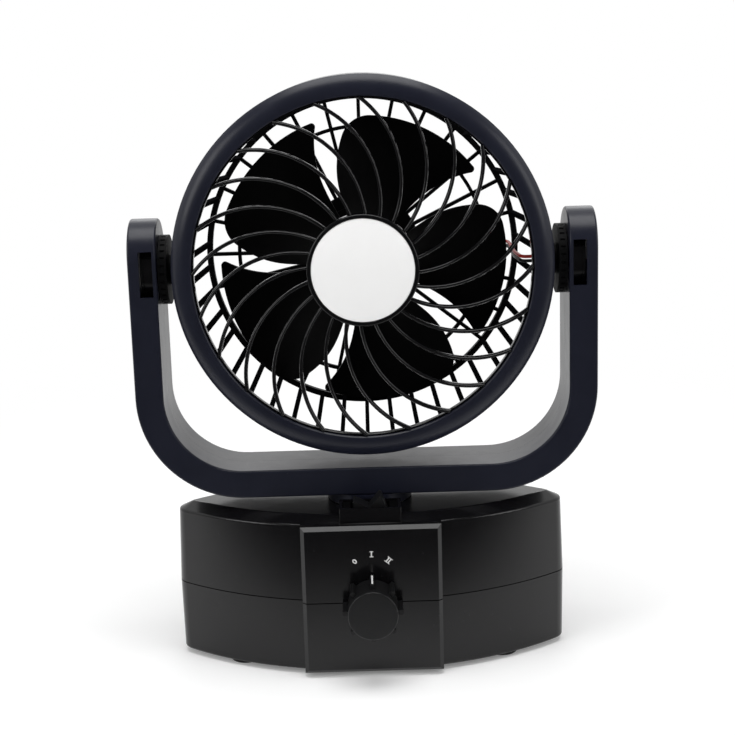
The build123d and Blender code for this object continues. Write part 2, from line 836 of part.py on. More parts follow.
def crown_blank(inset):
    """All that lies under the flat top and its low bevel, lowered by inset."""
    taper = math.degrees(math.atan2(crown_width, crown_height))
    shrink = (base_top - crown_height - base_seam) * math.tan(math.radians(upper_draft)) + crown_width
    shrink = shrink + inset * math.tan(math.radians((90.0 - taper) / 2))
    plan = base_plan(base_half_width - shrink, base_half_depth - shrink, base_end_radius - shrink)
    return Pos(0, 0, base_top - inset) * extrude(plan, amount=base_seam - base_top, taper=-taper)


def upper_blank(inset, height):
    plan = base_plan(base_half_width - inset, base_half_depth - inset, base_end_radius - inset)
    sides = Pos(0, 0, base_seam) * extrude(plan, amount=height, taper=upper_draft)
    return sides & crown_blank(inset)


def lower_blank(inset, height):
    plan = base_plan(base_half_width - inset, base_half_depth - inset, base_end_radius - inset)
    return Pos(0, 0, base_seam) * extrude(plan, amount=-height, taper=lower_draft)


def panel_block(low, high, rounded_top):
    box = block(-panel_half_width, panel_half_width, -panel_front, -20, low, high)
    front_edges = [e for e in box.edges() if abs(e.center().Y + panel_front) < 0.01]
    upright = [e for e in front_edges if abs(e.center().X) > panel_half_width - 0.01]
    across = [e for e in front_edges if abs(e.center().Z - (high if rounded_top else low)) < 0.01]
    return chamfer(upright + across, panel_edge)


def cell_places():
    return [(sx * cell_x, sy * cell_y) for sx in (-1, 1) for sy in (-1, 1)]


def pod():
    box = block(-pod_half_width, pod_half_width, -pod_front, -pod_back, panel_top - 3, pod_top)
    upright = box.edges().filter_by(Axis.Z)
    return fillet(upright, pod_edge)


def rocker_opening(low):
    return block(
        -pod_half_width + pod_wall,
        pod_half_width - pod_wall,
        -pod_front + pod_wall,
        -pod_back - pod_wall,
        low,
        pod_top + 1,
    )


def base_upper_shell():
    height = base_top - base_seam
    body = upper_blank(0.0, height)
    rim_edges = [e for e in body.edges() if abs(e.center().Z - base_top + crown_height) < 0.2]
    body = fillet(rim_edges, rim_edge)
    crease_edges = [e for e in body.edges() if abs(e.center().Z - base_top) < 0.01]
    body = fillet(crease_edges, crease_edge)
    hollow = upper_blank(base_wall, height - base_wall)
    shell = body - hollow
    panel = panel_block(base_seam, panel_top, True)
    panel_hollow = block(
        -panel_inner_half_width,
        panel_inner_half_width,
        -panel_front + base_wall,
        -20,
        base_seam - 1,
        panel_top - base_wall,
    )
    shell = shell + (panel - hollow)
    shell = shell + pod()
    shell -= panel_hollow & block(-60, 60, -60, -35, 0, panel_top - base_wall)
    shell -= rocker_opening(base_seam + 12.0)
    rim = block(-150, 150, -60, 60, base_seam - 1, base_seam + seam_gap / 2)
    shell -= rim
    shell = shell + disc_z(post_radius + running_gap + bearing_wall, base_top - bearing_length, base_top - 1)
    shell -= disc_z(post_radius + running_gap, base_top - bearing_length - 1, base_top + 1)
    groove = disc_z(slip_ring_outer + 0.1, base_top - slip_ring_thickness, base_top + 1)
    shell -= groove - disc_z(slip_ring_inner - 0.1, base_top - 5, base_top + 5)
    for x, y in cell_places():
        tube = disc_z(tube_outer, base_seam + 1, base_top - base_wall, x=x, y=y)
        tube -= disc_z(tube_inner, base_seam, bulkhead, x=x, y=y)
        tube -= disc_z(tube_inner, bulkhead + 2, base_top - base_wall, x=x, y=y)
        shell = shell + (tube & upper_blank(0.5, height - 0.5))
    for x, y in cell_places():
        shell -= disc_z(tube_inner, base_seam, bulkhead, x=x, y=y)
    for x, y in base_post_places:
        post = disc_z(base_post_radius, base_seam + 1, base_top - base_wall + 0.5, x=x, y=y)
        shell = shell + (post & upper_blank(0.5, height - 0.5))
        shell -= disc_z(base_screw_radius - 0.1, base_seam, base_seam + base_screw_length + 3, x=x, y=y)
    shell -= disc_y(switch_bushing_radius + 0.1, -panel_front - 1, -panel_front + base_wall + 1, z=base_seam)
    return shell


def base_lower_shell():
    height = base_seam - base_bottom
    body = lower_blank(0.0, height)
    floor_edges = [e for e in body.edges() if abs(e.center().Z - base_bottom) < 0.01]
    body = fillet(floor_edges, floor_edge)
    hollow = lower_blank(base_wall, height - base_wall)
    shell = body - hollow
    panel = panel_block(base_bottom, base_seam, False)
    shell = shell + (panel - hollow)
    shell -= block(
        -panel_inner_half_width,
        panel_inner_half_width,
        -panel_front + base_wall,
        -35,
        cavity_floor,
        base_seam + 1,
    )
    shell -= block(-150, 150, -60, 60, base_seam - seam_gap / 2, base_seam + 1)
    tongue = upper_blank(base_wall + seat_gap, tongue_height)
    tongue -= upper_blank(base_wall + seat_gap + tongue_wall, tongue_height + 1)
    tongue -= block(-60, 60, -60, -30, base_seam - 1, base_seam + 10)
    root = lower_blank(base_wall - 0.4, 6.0) - lower_blank(base_wall + seat_gap + tongue_wall, 7.0)
    root -= block(-60, 60, -60, -30, base_seam - 10, base_seam + 10)
    for x, y in cell_places():
        tongue -= disc_z(tube_outer + 0.25, base_seam - 1, base_seam + 10, x=x, y=y)
    for x, y in base_post_places:
        tongue -= disc_z(base_post_radius + 0.25, base_seam - 1, base_seam + 10, x=x, y=y)
    shell = shell + root + tongue
    for x, y in cell_places():
        tube = disc_z(tube_outer, cavity_floor - 1, base_seam + 0.6, x=x, y=y)
        shell = shell + (tube & lower_blank(0.5, height))
    for x, y in cell_places():
        shell -= disc_z(tube_inner, door_top, base_seam + 4, x=x, y=y)
    for side in (-1, 1):
        shell -= door_blank(side, door_gap, base_bottom - 1, door_top + 0.2)
        inner = door_blank(side, -door_ledge, door_top, door_top + 4)
        shell -= inner
    for x, y in base_post_places:
        post = disc_z(base_post_radius, cavity_floor - 1, base_seam + 0.9, x=x, y=y)
        shell = shell + (post & (lower_blank(0.5, height) + upper_blank(0.5, 5.0)))
        shell -= disc_z(base_screw_radius + 0.25, base_bottom - 1, base_seam + 2, x=x, y=y)
        shell -= disc_z(base_screw_head + 0.3, base_bottom - 1, base_seam - 9.0, x=x, y=y)
    for x, y in foot_places():
        shell -= disc_z(foot_radius + 0.1, base_bottom - 1, base_bottom + foot_inset, x=x, y=y)
    shell -= disc_y(switch_bushing_radius + 0.1, -panel_front - 1, -panel_front + base_wall + 1, z=base_seam)
    shell -= disc_y(jack_radius + 0.1, 30, 60, z=jack_height)
    seat = block(-jack_nut_radius - 1, jack_nut_radius + 1, jack_seat(), 60, jack_height - 9, jack_height + 9)
    shell -= seat
    return shell


def jack_seat():
    """Flat spot on the curved back that the inlet's nut bears on."""
    low_shift = (base_seam - jack_height + 9) * math.tan(math.radians(lower_draft))
    return base_half_depth - low_shift - 0.8


def foot_places():
    return [(sx * foot_x, sy * foot_y) for sx in (-1, 1) for sy in (-1, 1)]


def rubber_feet():
    feet = []
    for x, y in foot_places():
        foot = disc_z(foot_radius, 0, base_bottom + foot_inset - 0.05, x=x, y=y)
        bottom = foot.edges().sort_by(Axis.Z)[0]
        feet.append(chamfer(bottom, 0.6))
    return feet


def door_blank(side, grow, z0, z1):
    """Long round-ended outline of a battery door, grown by a margin."""
    radius = tube_inner + grow
    middle = side * cell_x
    outline = block(middle - radius, middle + radius, -cell_y, cell_y, z0, z1)
    for y in (-cell_y, cell_y):
        outline = outline + disc_z(radius, z0, z1, x=middle, y=y)
    return outline


def battery_door(side):
    door = door_blank(side, 0.0, base_bottom, door_top)
    middle = side * cell_x
    for k in range(5):
        y = -4.0 + 2.0 * k
        door -= block(middle - 7, middle + 7, y - 0.4, y + 0.4, base_bottom - 1, base_bottom + 0.5)
    return door


def door_contacts(side):
    strip = door_blank(side, -5.0, door_top, spring_foot)
    turns = []
    rise = spring_length - 2 * spring_wire
    for y in (-cell_y, cell_y):
        coil = Helix(pitch=rise / spring_turns, height=rise, radius=spring_radius)
        section = Plane(origin=coil @ 0, z_dir=coil % 0) * Circle(spring_wire)
        wire = sweep(section, path=coil, is_frenet=True)
        turns.append(Pos(side * cell_x, y, spring_foot + spring_wire * 0.9) * wire)
    return joined(strip, turns)


def battery_cells():
    cells = []
    for x, y in cell_places():
        cell = disc_z(cell_radius, cell_bottom, cell_top, x=x, y=y)
        cell = fillet(cell.edges(), 0.8)
        cells.append(cell + disc_z(cell_nub_radius, cell_top - 0.5, cell_top + cell_nub_height, x=x, y=y))
    return cells


def battery_contacts():
    plates = []
    for x, y in cell_places():
        plates.append(disc_z(9.0, contact_height, contact_height + contact_thickness, x=x, y=y))
    return plates


def base_screws():
    screws = []
    for x, y in base_post_places:
        seat = base_seam - 9.0 - 0.05
        screw = disc_z(base_screw_radius - 0.15, seat - 0.5, seat + base_screw_length, x=x, y=y)
        screw = screw + disc_z(base_screw_head, seat - base_screw_head_height, seat, x=x, y=y)
        slot = block(x - 1.6, x + 1.6, y - 0.35, y + 0.35, seat - 4, seat - base_screw_head_height + 0.9)
        screws.append(screw - slot)
    return screws


def slip_ring():
    ring = disc_z(slip_ring_outer, base_top - slip_ring_thickness + 0.02, base_top)
    return ring - disc_z(slip_ring_inner, base_top - 5, base_top + 5)


# ---- Controls and inlet ----
def switch_back():
    return -panel_front + base_wall + switch_depth + 0.2


def rotary_switch_body():
    front = -panel_front + base_wall + 0.15
    half = switch_half_size
    body = block(-half, half, front, switch_back(), base_seam - half, base_seam + half)
    body = fillet(body.edges().filter_by(Axis.Y), 1.5)
    body = body + disc_y(switch_bushing_radius, -panel_front + 0.2, front + 1, z=base_seam)
    for x in (-6, 0, 6):
        tag = block(x - 1.2, x + 1.2, switch_back() - 1, switch_back() + 4, base_seam - 6.3, base_seam - 5.7)
        body = body + tag
    body -= disc_y(switch_shaft_radius + running_gap, -panel_front - 1, switch_back() - 2.0, z=base_seam)
    return body


def shaft_front():
    return -knob_face + knob_bore_depth + 0.3


def rotary_switch_shaft():
    shaft = disc_y(switch_shaft_radius, shaft_front(), switch_back() - 2.3, z=base_seam)
    flat_height = base_seam + switch_shaft_radius - 0.6
    return shaft - block(-4, 4, shaft_front() - 1, -panel_front - 3, flat_height, base_seam + 6)


def speed_knob():
    back = -panel_front - knob_back_gap
    face = -knob_face
    knob = disc_y(knob_radius, face, back)
    rim = [e for e in knob.edges() if abs(e.center().Y - face) < 0.01]
    knob = fillet(rim, knob_edge)
    for k in range(knob_lug_count):
        lug = block(
            knob_radius - 2,
            knob_radius + knob_lug_reach,
            face + knob_lug_setback,
            back - 0.6,
            -knob_lug_width / 2,
            knob_lug_width / 2,
        )
        outer = [e for e in lug.edges().filter_by(Axis.Y) if e.center().X > knob_radius]
        knob = knob + spun(fillet(outer, 0.8), 360.0 * k / knob_lug_count)
    knob = Pos(0, 0, base_seam) * knob
    cavity = disc_y(knob_radius - knob_wall, back - knob_recess, back + 1, z=base_seam)
    sleeve = disc_y(switch_shaft_radius + knob_wall, back - knob_recess - 1, back - 0.6, z=base_seam)
    knob -= cavity - sleeve
    bore = disc_y(switch_shaft_radius + 0.02, -knob_face + knob_bore_depth, back + 1, z=base_seam)
    flat_height = base_seam + switch_shaft_radius - 0.58
    knob -= bore - block(-4, 4, -knob_face, -panel_front - 3, flat_height, base_seam + 6)
    return knob - knob_pointer_slot()


def knob_pointer_slot():
    top = base_seam + knob_radius + knob_lug_reach
    front = -knob_face + knob_lug_setback
    back = -panel_front - knob_back_gap - 0.6
    half = pointer_width / 2
    return block(-half, half, front + 0.5, back - 1.0, top - pointer_height, top + 1)


def knob_pointer():
    top = base_seam + knob_radius + knob_lug_reach
    lug = block(-3, 3, -knob_face, -panel_front, top - 2, top)
    return knob_pointer_slot() & lug


def rocker_switch_body():
    low = rocker_pivot_z - rocker_body_depth
    body = block(
        -pod_half_width + pod_wall + 0.15,
        pod_half_width - pod_wall - 0.15,
        -pod_front + pod_wall + 0.15,
        -pod_back - pod_wall - 0.15,
        pod_top - 10.8,
        pod_top - 0.7,
    )
    body = body + block(-10.5, 10.5, rocker_pivot_y - 6.5, rocker_pivot_y + 6.5, low, pod_top - 10)
    well = block(
        -rocker_half_length - 1.0,
        rocker_half_length + 1.0,
        rocker_pivot_y - rocker_half_width - 0.4,
        rocker_pivot_y + rocker_half_width + 0.4,
        rocker_pivot_z - 7.4,
        pod_top + 5,
    )
    body -= well
    pin = rocker_pin_radius + running_gap
    reach = rocker_half_width + rocker_pin_length + 0.1
    body -= disc_y(pin, rocker_pivot_y - reach, rocker_pivot_y + reach, z=rocker_pivot_z)
    return body


def rocker_paddle():
    outline = Polyline(
        (-rocker_half_length, -rocker_skirt),
        (-rocker_shoulder_reach, rocker_shoulder),
        (0, rocker_valley),
        (rocker_shoulder_reach, rocker_shoulder),
        (rocker_half_length, -rocker_skirt),
        (0, -rocker_skirt - 1.2),
        close=True,
    )
    paddle = plate(make_face(outline), rocker_half_width, 2 * rocker_half_width)
    shoulders = [e for e in paddle.edges().filter_by(Axis.Y) if e.center().Z > rocker_valley + 1]
    paddle = fillet(shoulders, 0.9)
    reach = rocker_half_width + rocker_pin_length
    paddle = paddle + disc_y(rocker_pin_radius, -reach, reach)
    return Pos(0, rocker_pivot_y, rocker_pivot_z) * Rot(0, -rocker_tilt, 0) * paddle


def dc_jack():
    seat = jack_seat()
    barrel = disc_y(jack_radius, seat - jack_length, seat + 2.6, z=jack_height)
    flange_back = seat - base_wall - 0.2
    barrel = barrel + disc_y(jack_nut_radius, flange_back - 2.0, flange_back, z=jack_height)
    barrel -= disc_y(jack_socket_radius, seat - jack_length + 2, seat + 4, z=jack_height)
    return barrel + disc_y(jack_pin_radius, seat - jack_length + 1, seat + 1.6, z=jack_height)


def dc_jack_nut():
    seat = jack_seat() + 0.05
    hexagon = plate(RegularPolygon(jack_nut_radius, 6), seat + jack_nut_thickness, jack_nut_thickness)
    return Pos(0, 0, jack_height) * (hexagon - disc_y(jack_radius + 0.02, seat - 1, seat + 4))


# ---- Leads ----
def lead(points, radii):
    path = FilletPolyline(*points, radius=radii)
    start = Plane(origin=path @ 0, z_dir=path % 0)
    return sweep(start * Circle(lead_radius), path=path)


def head_lead(side):
    """Motor terminal, out along the rear guard, forward, and into the right-hand pivot."""
    offset = side * lead_spacing
    inside = rear_ring_inner - 3.4
    plane = hub_plate_front - 1.6
    terminal = mount_flange_radius + 2.0
    points = [
        (terminal, plane, 4.0 + offset),
        (inside - 14, plane, 4.0 + offset),
        (inside, plane - 10, 3.0 + offset),
        (inside + 0.6, 14.0, 1.0 + offset * 0.9),
        (inside + 3.0, 0.0, offset * 0.9),
        (flange_inner, 0.0, offset * 0.9),
    ]
    return lead(points, [8.0, 8.0, 6.0, 3.0])


def yoke_lead(side):
    """Down the right arm, along the bar and down through the swivel post."""
    offset = side * lead_spacing
    points = [
        (pin_end + 1.3, offset, -1.0),
        (pin_end + 1.3, offset, -drum_radius - 1.0),
        (lead_wall_x, offset, -drum_radius - 10.0),
        (lead_wall_x, offset, lead_bar_z),
        (2.0, offset, lead_bar_z),
        (2.0, offset, post_end - 6.0),
    ]
    return lead(points, [4.0, 6.0, yoke_corner - 12.0, 3.0])


def base_lead(side):
    """From below the swivel post to the rotary switch."""
    offset = side * 6.0
    top = pivot_height + post_end - 8.0
    points = [
        (offset * 0.4, 0.0, top),
        (offset * 0.4, -2.0, top - 12.0),
        (offset, -8.0, base_seam - 4.0),
        (offset, switch_back() + 4.6, base_seam - 6.0),
    ]
    return lead(points, [4.0, 4.0])


# ---- Write one file per piece ----
front_shell, rear_shell = yoke_shells()
right_trunnion = trunnion()

head_pieces = {
    "front_ring": front_ring(),
    "front_grille": front_grille(),
    "hub_cap": hub_cap(),
    "guard_rim": guard_rim(),
    "guard_side_ribs": Compound(guard_side_ribs()),
    "rear_grille": rear_grille(),
    "guard_screws": Compound(guard_screws()),
    "motor_mount": motor_mount(),
    "mount_screws": Compound(mount_screws()),
    "motor_can": motor_can(),
    "motor_end_cap": motor_end_cap(),
    "motor_cover": motor_cover(),
    "motor_shaft": motor_shaft(),
    "motor_rotor": motor_rotor(),
    "impeller": impeller(),
    "trunnion_right": right_trunnion,
    "trunnion_left": mirrored(right_trunnion),
    "pivot_nuts": Compound([pivot_nut(), mirrored(pivot_nut())]),
    "tilt_drum_right": tilt_drum(),
    "tilt_drum_left": mirrored(tilt_drum()),
    "motor_lead_red": head_lead(1),
    "motor_lead_black": head_lead(-1),
}

yoke_pieces = {
    "yoke_front_shell": front_shell,
    "yoke_rear_shell": rear_shell,
    "yoke_screws": Compound(yoke_screws()),
    "swivel_post": swivel_post(),
    "swivel_retainer": swivel_retainer(),
    "retainer_screws": Compound(retainer_screws()),
    "yoke_lead_red": yoke_lead(1),
    "yoke_lead_black": yoke_lead(-1),
}

base_pieces = {
    "base_upper_shell": base_upper_shell(),
    "base_lower_shell": base_lower_shell(),
    "rubber_feet": Compound(rubber_feet()),
    "base_screws": Compound(base_screws()),
    "slip_ring": slip_ring(),
    "battery_cells": Compound(battery_cells()),
    "battery_contacts": Compound(battery_contacts()),
    "battery_door_left": battery_door(-1),
    "battery_door_right": battery_door(1),
    "door_contacts_left": door_contacts(-1),
    "door_contacts_right": door_contacts(1),
    "rotary_switch_body": rotary_switch_body(),
    "rotary_switch_shaft": rotary_switch_shaft(),
    "speed_knob": speed_knob(),
    "knob_pointer": knob_pointer(),
    "rocker_switch_body": rocker_switch_body(),
    "rocker_paddle": rocker_paddle(),
    "dc_jack": dc_jack(),
    "dc_jack_nut": dc_jack_nut(),
    "base_lead_red": base_lead(1),
    "base_lead_black": base_lead(-1),
}

for name, shape in {**head_pieces, **yoke_pieces}.items():
    save(name, lifted(shape))
for name, shape in base_pieces.items():
    save(name, shape)
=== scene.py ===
import math
import bmesh
import bpy
from mathutils import Matrix, Vector


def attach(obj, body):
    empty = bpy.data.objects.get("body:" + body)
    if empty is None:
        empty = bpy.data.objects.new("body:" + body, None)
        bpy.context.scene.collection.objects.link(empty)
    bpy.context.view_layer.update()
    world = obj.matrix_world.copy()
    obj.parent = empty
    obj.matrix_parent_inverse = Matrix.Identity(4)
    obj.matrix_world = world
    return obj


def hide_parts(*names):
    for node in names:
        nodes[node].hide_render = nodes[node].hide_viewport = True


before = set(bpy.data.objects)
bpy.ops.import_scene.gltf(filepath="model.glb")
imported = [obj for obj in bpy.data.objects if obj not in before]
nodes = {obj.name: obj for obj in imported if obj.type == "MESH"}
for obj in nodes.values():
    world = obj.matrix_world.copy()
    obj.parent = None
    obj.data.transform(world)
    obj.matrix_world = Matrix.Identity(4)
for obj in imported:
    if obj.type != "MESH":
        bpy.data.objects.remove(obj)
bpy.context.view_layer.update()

millimetre = 0.001
speckEdge = 1.6  # a speck has faded out at this many times its own radius
creaseDegrees = 38  # sharper edges than this stay crisp on a smooth piece
mergeDistance = 0.000001


# a shader socket that can stand in arithmetic
class Wire:
    def __init__(self, finish, socket):
        self.finish = finish
        self.socket = socket

    def maths(self, operation, *values):
        return self.finish.node("ShaderNodeMath", {"operation": operation}, dict(enumerate(values)))

    def __add__(self, other):
        return self.maths("ADD", self, other)

    def __radd__(self, other):
        return self.maths("ADD", other, self)

    def __mul__(self, other):
        return self.maths("MULTIPLY", self, other)

    def __rmul__(self, other):
        return self.maths("MULTIPLY", other, self)


class Finish:
    def __init__(self, holder, endKind="ShaderNodeOutputMaterial"):
        self.holder = holder
        holder.use_nodes = True
        self.tree = holder.node_tree
        self.tree.nodes.clear()
        self.end = self.tree.nodes.new(endKind)

    def node(self, kind, settings=None, inputs=None, output=0):
        made = self.tree.nodes.new(kind)
        for key, value in (settings or {}).items():
            if key == "stops":
                self.setStops(made.color_ramp, value)
            else:
                setattr(made, key, value)
        for key, value in (inputs or {}).items():
            if isinstance(value, Wire):
                self.tree.links.new(value.socket, made.inputs[key])
            else:
                made.inputs[key].default_value = value
        return Wire(self, made.outputs[output])

    def setStops(self, ramp, stops):
        while len(ramp.elements) > 1:
            ramp.elements.remove(ramp.elements[-1])
        ramp.elements[0].position = stops[0][0]
        ramp.elements[0].color = tuple([stops[0][1]] * 3 + [1.0])
        for place, level in stops[1:]:
            element = ramp.elements.new(place)
            element.color = tuple([level] * 3 + [1.0])

    def place(self):
        return self.node("ShaderNodeTexCoord", output="Object")

    def noise(self, size, detail=2.0, roughness=0.5, warp=0.0, stretch=None):
        where = self.place()
        if stretch:
            where = self.node("ShaderNodeMapping", {}, {"Vector": where, "Scale": stretch})
        values = {"Vector": where, "Scale": 1.0 / size, "Detail": detail,
                  "Roughness": roughness, "Distortion": warp}
        return self.node("ShaderNodeTexNoise", {"noise_dimensions": "3D"}, values)

    def specks(self, size, share):
        values = {"Vector": self.place(), "Scale": 1.0 / size, "Randomness": 1.0}
        spot = self.node("ShaderNodeTexVoronoi", {"feature": "F1"}, values)
        return self.ramp(spot, [(0.0, 1.0), (share, 1.0), (share * speckEdge, 0.0)])

    def ramp(self, level, stops):
        return self.node("ShaderNodeValToRGB", {"stops": stops}, {"Fac": level})

    def spread(self, level, low, high, start=0.0, end=1.0):
        values = {"Value": level, "From Min": start, "From Max": end, "To Min": low, "To Max": high}
        return self.node("ShaderNodeMapRange", {"clamp": True}, values)

    def fade(self, level, start, end):
        values = {"Value": level, "From Min": start, "From Max": end}
        return self.node("ShaderNodeMapRange", {"clamp": True, "interpolation_type": "SMOOTHSTEP"}, values)

    def mixed(self, share, first, second):
        return self.node("ShaderNodeMixShader", {}, {0: share, 1: first, 2: second})

    def glow(self, level):
        return self.node("ShaderNodeEmission", {}, {"Color": rgb(1, 1, 1), "Strength": level})

    def blend(self, share, first, second):
        values = {0: share, 6: first, 7: second}
        return self.node("ShaderNodeMix", {"data_type": "RGBA"}, values, output=2)

    def bump(self, height, depth, normal=None):
        values = {"Height": height, "Distance": depth, "Strength": 1.0}
        if normal:
            values["Normal"] = normal
        return self.node("ShaderNodeBump", {}, values)

    def shade(self, **values):
        self.close(self.node("ShaderNodeBsdfPrincipled", {}, values))

    def close(self, shader):
        self.tree.links.new(shader.socket, self.end.inputs["Surface"])


def rgb(red, green, blue):
    return (red, green, blue, 1.0)


def newFinish(name):
    return Finish(bpy.data.materials.new(name))


plasticFinishes = {
    "satinNavy": {
        "colour": rgb(0.0080, 0.0090, 0.0175), "paler": rgb(0.0115, 0.0130, 0.0235), "patch": 0.020,
        "dust": rgb(0.060, 0.062, 0.070), "dustShare": 0.045, "dustSize": 0.0040,
        "roughness": (0.27, 0.36), "smear": 0.012,
        "grain": 0.00035, "grainDepth": 0.000006, "ripple": 0.030, "rippleDepth": 0.00010,
        "gloss": 0.32, "coat": 0.0, "coatRoughness": 0.15,
    },
    "glossBlack": {
        "colour": rgb(0.0030, 0.0028, 0.0033), "paler": rgb(0.0042, 0.0040, 0.0046), "patch": 0.030,
        "dust": rgb(0.070, 0.070, 0.074), "dustShare": 0.050, "dustSize": 0.0050,
        "roughness": (0.13, 0.20), "smear": 0.016,
        "grain": 0.0006, "grainDepth": 0.000002, "ripple": 0.045, "rippleDepth": 0.00016,
        "gloss": 0.36, "coat": 0.0, "coatRoughness": 0.06,
    },
    "spokeBlack": {
        "colour": rgb(0.0024, 0.0024, 0.0028), "paler": rgb(0.0036, 0.0036, 0.0041), "patch": 0.015,
        "dust": rgb(0.040, 0.040, 0.043), "dustShare": 0.030, "dustSize": 0.0040,
        "roughness": (0.13, 0.20), "smear": 0.010,
        "grain": 0.0004, "grainDepth": 0.000002, "ripple": 0.012, "rippleDepth": 0.00003,
        "gloss": 0.42, "coat": 0.0, "coatRoughness": 0.10,
    },
    "ribBlack": {
        "colour": rgb(0.0048, 0.0048, 0.0054), "paler": rgb(0.0062, 0.0062, 0.0069), "patch": 0.015,
        "dust": rgb(0.020, 0.020, 0.022), "dustShare": 0.030, "dustSize": 0.0040,
        "roughness": (0.46, 0.58), "smear": 0.010,
        "grain": 0.0004, "grainDepth": 0.000006, "ripple": 0.012, "rippleDepth": 0.00003,
        "gloss": 0.0, "coat": 0.0, "coatRoughness": 0.10,
    },
    "guardBlack": {
        "colour": rgb(0.0022, 0.0022, 0.0025), "paler": rgb(0.0034, 0.0034, 0.0038), "patch": 0.015,
        "dust": rgb(0.020, 0.020, 0.022), "dustShare": 0.030, "dustSize": 0.0040,
        "roughness": (0.46, 0.58), "smear": 0.010,
        "grain": 0.0004, "grainDepth": 0.000006, "ripple": 0.012, "rippleDepth": 0.00003,
        "gloss": 0.06, "coat": 0.0, "coatRoughness": 0.10,
    },
    "matteBlack": {
        "colour": rgb(0.0016, 0.0016, 0.0018), "paler": rgb(0.0026, 0.0025, 0.0028), "patch": 0.018,
        "dust": rgb(0.012, 0.012, 0.013), "dustShare": 0.030, "dustSize": 0.0045,
        "roughness": (0.46, 0.58), "smear": 0.010,
        "grain": 0.00045, "grainDepth": 0.000012, "ripple": 0.030, "rippleDepth": 0.00006,
        "gloss": 0.08, "coat": 0.0, "coatRoughness": 0.3,
    },
    "knobBlack": {
        "colour": rgb(0.0060, 0.0060, 0.0065), "paler": rgb(0.0090, 0.0090, 0.0096), "patch": 0.010,
        "dust": rgb(0.060, 0.060, 0.062), "dustShare": 0.030, "dustSize": 0.0030,
        "roughness": (0.30, 0.38), "smear": 0.006,
        "grain": 0.0003, "grainDepth": 0.000006, "ripple": 0.010, "rippleDepth": 0.00003,
        "gloss": 0.30, "coat": 0.05, "coatRoughness": 0.2,
    },
    "glossWhite": {
        "colour": rgb(0.955, 0.952, 0.945), "paler": rgb(0.970, 0.968, 0.964), "patch": 0.020,
        "dust": rgb(0.600, 0.590, 0.560), "dustShare": 0.030, "dustSize": 0.0040,
        "roughness": (0.16, 0.24), "smear": 0.010,
        "grain": 0.0005, "grainDepth": 0.000003, "ripple": 0.020, "rippleDepth": 0.00004,
        "gloss": 0.50, "coat": 0.2, "coatRoughness": 0.08,
    },
    "naturalNylon": {
        "colour": rgb(0.480, 0.465, 0.420), "paler": rgb(0.560, 0.550, 0.510), "patch": 0.010,
        "dust": rgb(0.300, 0.290, 0.260), "dustShare": 0.040, "dustSize": 0.0030,
        "roughness": (0.36, 0.46), "smear": 0.008,
        "grain": 0.0005, "grainDepth": 0.000010, "ripple": 0.010, "rippleDepth": 0.00003,
        "gloss": 0.50, "coat": 0.0, "coatRoughness": 0.3,
    },
    "footRubber": {
        "colour": rgb(0.010, 0.010, 0.010), "paler": rgb(0.018, 0.018, 0.017), "patch": 0.006,
        "dust": rgb(0.100, 0.098, 0.092), "dustShare": 0.090, "dustSize": 0.0022,
        "roughness": (0.70, 0.85), "smear": 0.004,
        "grain": 0.0005, "grainDepth": 0.000030, "ripple": 0.008, "rippleDepth": 0.00004,
        "gloss": 0.40, "coat": 0.0, "coatRoughness": 0.5,
    },
    "redInsulation": {
        "colour": rgb(0.480, 0.018, 0.012), "paler": rgb(0.560, 0.035, 0.024), "patch": 0.006,
        "dust": rgb(0.300, 0.060, 0.050), "dustShare": 0.040, "dustSize": 0.0015,
        "roughness": (0.34, 0.44), "smear": 0.004,
        "grain": 0.0003, "grainDepth": 0.000006, "ripple": 0.004, "rippleDepth": 0.00002,
        "gloss": 0.50, "coat": 0.0, "coatRoughness": 0.3,
    },
    "blackInsulation": {
        "colour": rgb(0.010, 0.010, 0.011), "paler": rgb(0.016, 0.016, 0.017), "patch": 0.006,
        "dust": rgb(0.060, 0.060, 0.060), "dustShare": 0.040, "dustSize": 0.0015,
        "roughness": (0.34, 0.44), "smear": 0.004,
        "grain": 0.0003, "grainDepth": 0.000006, "ripple": 0.004, "rippleDepth": 0.00002,
        "gloss": 0.30, "coat": 0.0, "coatRoughness": 0.3,
    },
    "printedInk": {
        "colour": rgb(0.700, 0.700, 0.690), "paler": rgb(0.780, 0.780, 0.770), "patch": 0.0015,
        "dust": rgb(0.420, 0.420, 0.420), "dustShare": 0.060, "dustSize": 0.0006,
        "roughness": (0.45, 0.55), "smear": 0.002,
        "grain": 0.0002, "grainDepth": 0.000006, "ripple": 0.002, "rippleDepth": 0.00001,
        "gloss": 0.40, "coat": 0.0, "coatRoughness": 0.3,
    },
}


# what all plastics share: how far the patches, dust and smears reach
plasticWear = {
    "patchReach": (-0.4, 1.4), "dustPatch": 1.7, "dustReach": (-0.8, 1.5), "dustCover": 0.5, "dustRelief": 0.5,
    "smearStretch": (1.0, 1.0, 0.35), "smearMargin": 0.3,
}


